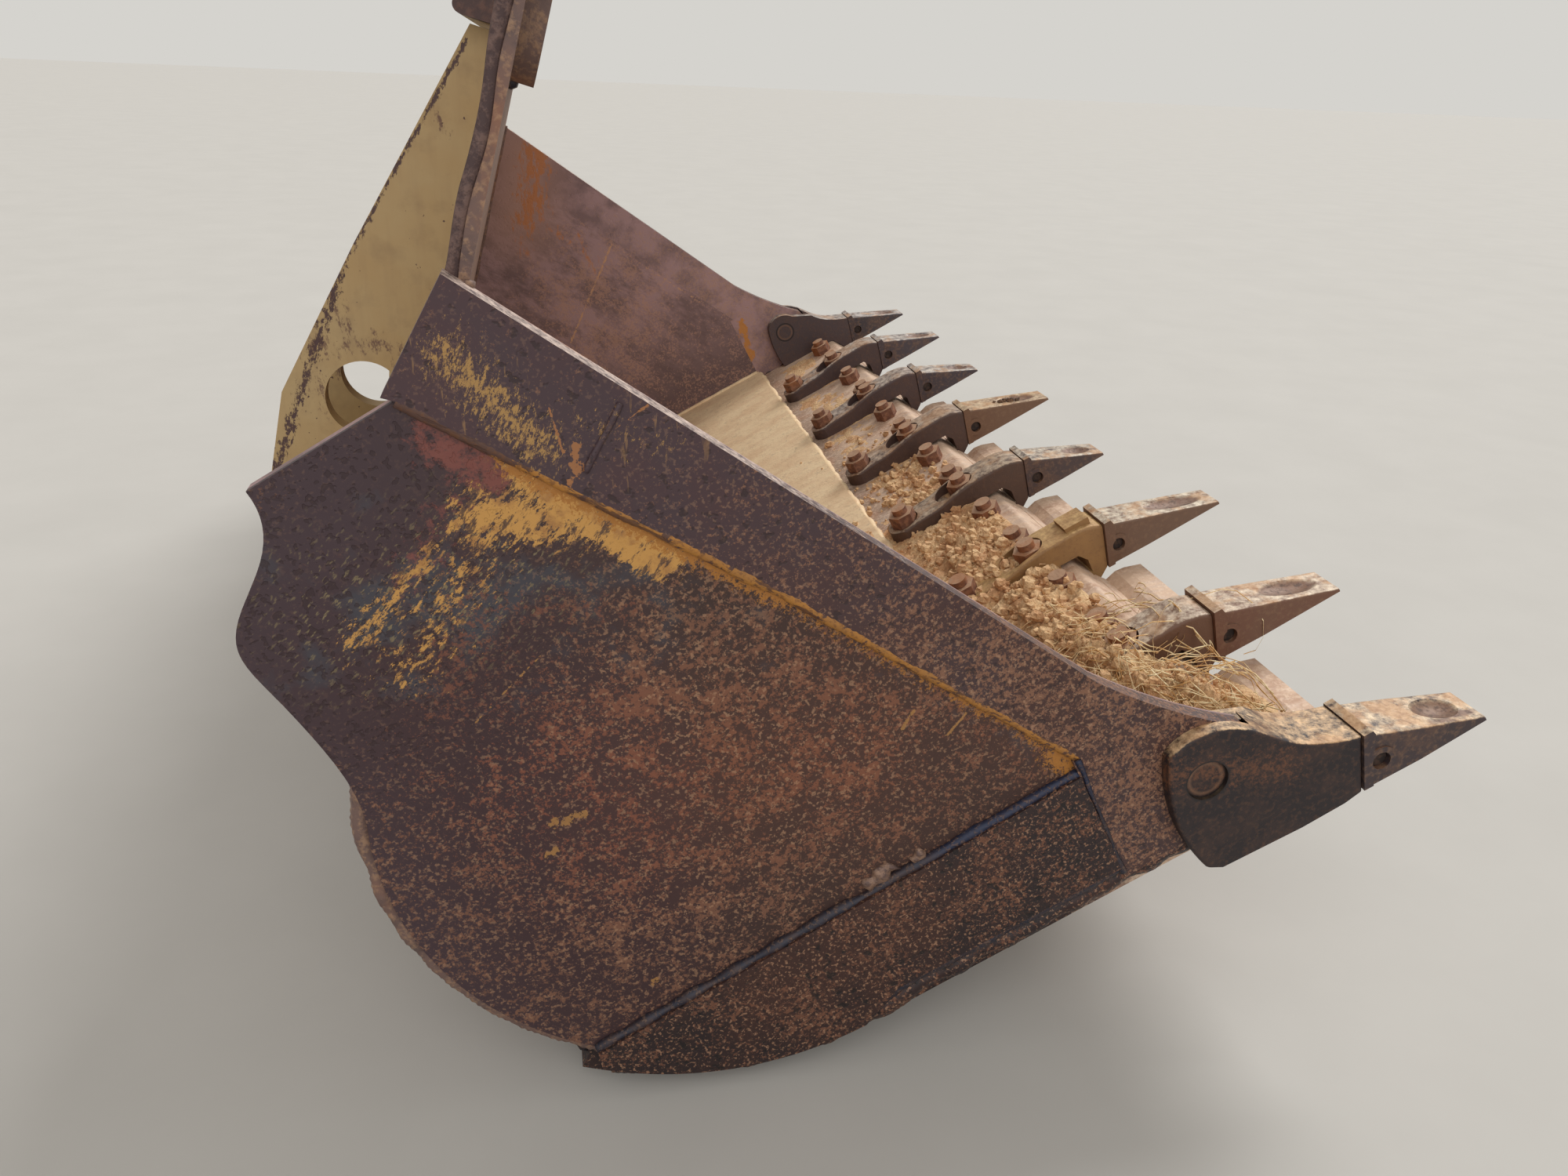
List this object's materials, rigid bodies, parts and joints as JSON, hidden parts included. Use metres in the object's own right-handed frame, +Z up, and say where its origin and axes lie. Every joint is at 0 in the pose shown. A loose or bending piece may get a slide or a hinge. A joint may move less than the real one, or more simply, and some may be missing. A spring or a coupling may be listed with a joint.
{
  "type": "track loader bucket",
  "caption": "Wide toothed bucket off a track loader: rolled steel shell, lobed side plates, adapters with pinned tips, bolt-on edge segments, paired pin ears behind.",
  "frame": {"origin": "on the common axis of the lift-arm pin bores, midway across the bucket", "axes": "+X ahead towards the teeth, +Y to the machine's left along the pin axis, +Z up with the bucket tipped back 28.8 degrees"},
  "size_m": [1.4656, 2.44, 1.2322],
  "materials": {
    "shell_plate": "rolled steel plate, brown with rust, dusty inside",
    "side_plate": "rolled steel plate, dark brown rust with scratched paint left",
    "side_bar": "rolled steel bar, dark rust, worn bright along the mouth",
    "edge_plate": "worn steel plate with light rust and dust",
    "ear_paint": "faded yellow paint, chipped to rust along the edges",
    "casting": "cast steel, dark and smooth with brown rust",
    "tip_casting": "cast steel worn bright on top, light rust on the sides",
    "bolt_steel": "forged steel with orange-brown rust",
    "pin_steel": "turned steel, dark"
  },
  "bodies": {
    "root": {"adapter_1": "casting", "adapter_2": "casting", "adapter_3": "casting", "adapter_4": "casting", "adapter_5": "casting", "adapter_6": "casting", "adapter_7": "casting", "adapter_8": "casting", "base_edge": "edge_plate", "corner_plug_left": "casting", "corner_plug_right": "casting", "edge_segment_1": "edge_plate", "edge_segment_2": "edge_plate", "edge_segment_3": "edge_plate", "edge_segment_4": "edge_plate", "edge_segment_5": "edge_plate", "edge_segment_6": "edge_plate", "edge_segment_7": "edge_plate", "front_bolts": "bolt_steel", "heel_wear_plate": "edge_plate", "key_pins": "pin_steel", "lift_plate_left_inner": "ear_paint", "lift_plate_left_outer": "ear_paint", "lift_plate_right_inner": "ear_paint", "lift_plate_right_outer": "ear_paint", "lip_plate": "shell_plate", "rear_bolts": "bolt_steel", "segment_bolts": "bolt_steel", "side_bar_left": "side_bar", "side_bar_right": "side_bar", "side_plate_left": "side_plate", "side_plate_right": "side_plate", "side_wear_plate_left": "side_plate", "side_wear_plate_right": "side_plate", "tilt_plate_left": "ear_paint", "tilt_plate_right": "ear_paint", "tooth_tip_1": "tip_casting", "tooth_tip_2": "tip_casting", "tooth_tip_3": "tip_casting", "tooth_tip_4": "tip_casting", "tooth_tip_5": "tip_casting", "tooth_tip_6": "tip_casting", "tooth_tip_7": "tip_casting", "tooth_tip_8": "tip_casting", "wall_rail": "ear_paint", "wrapper": "shell_plate"}
  },
  "joints": []
}
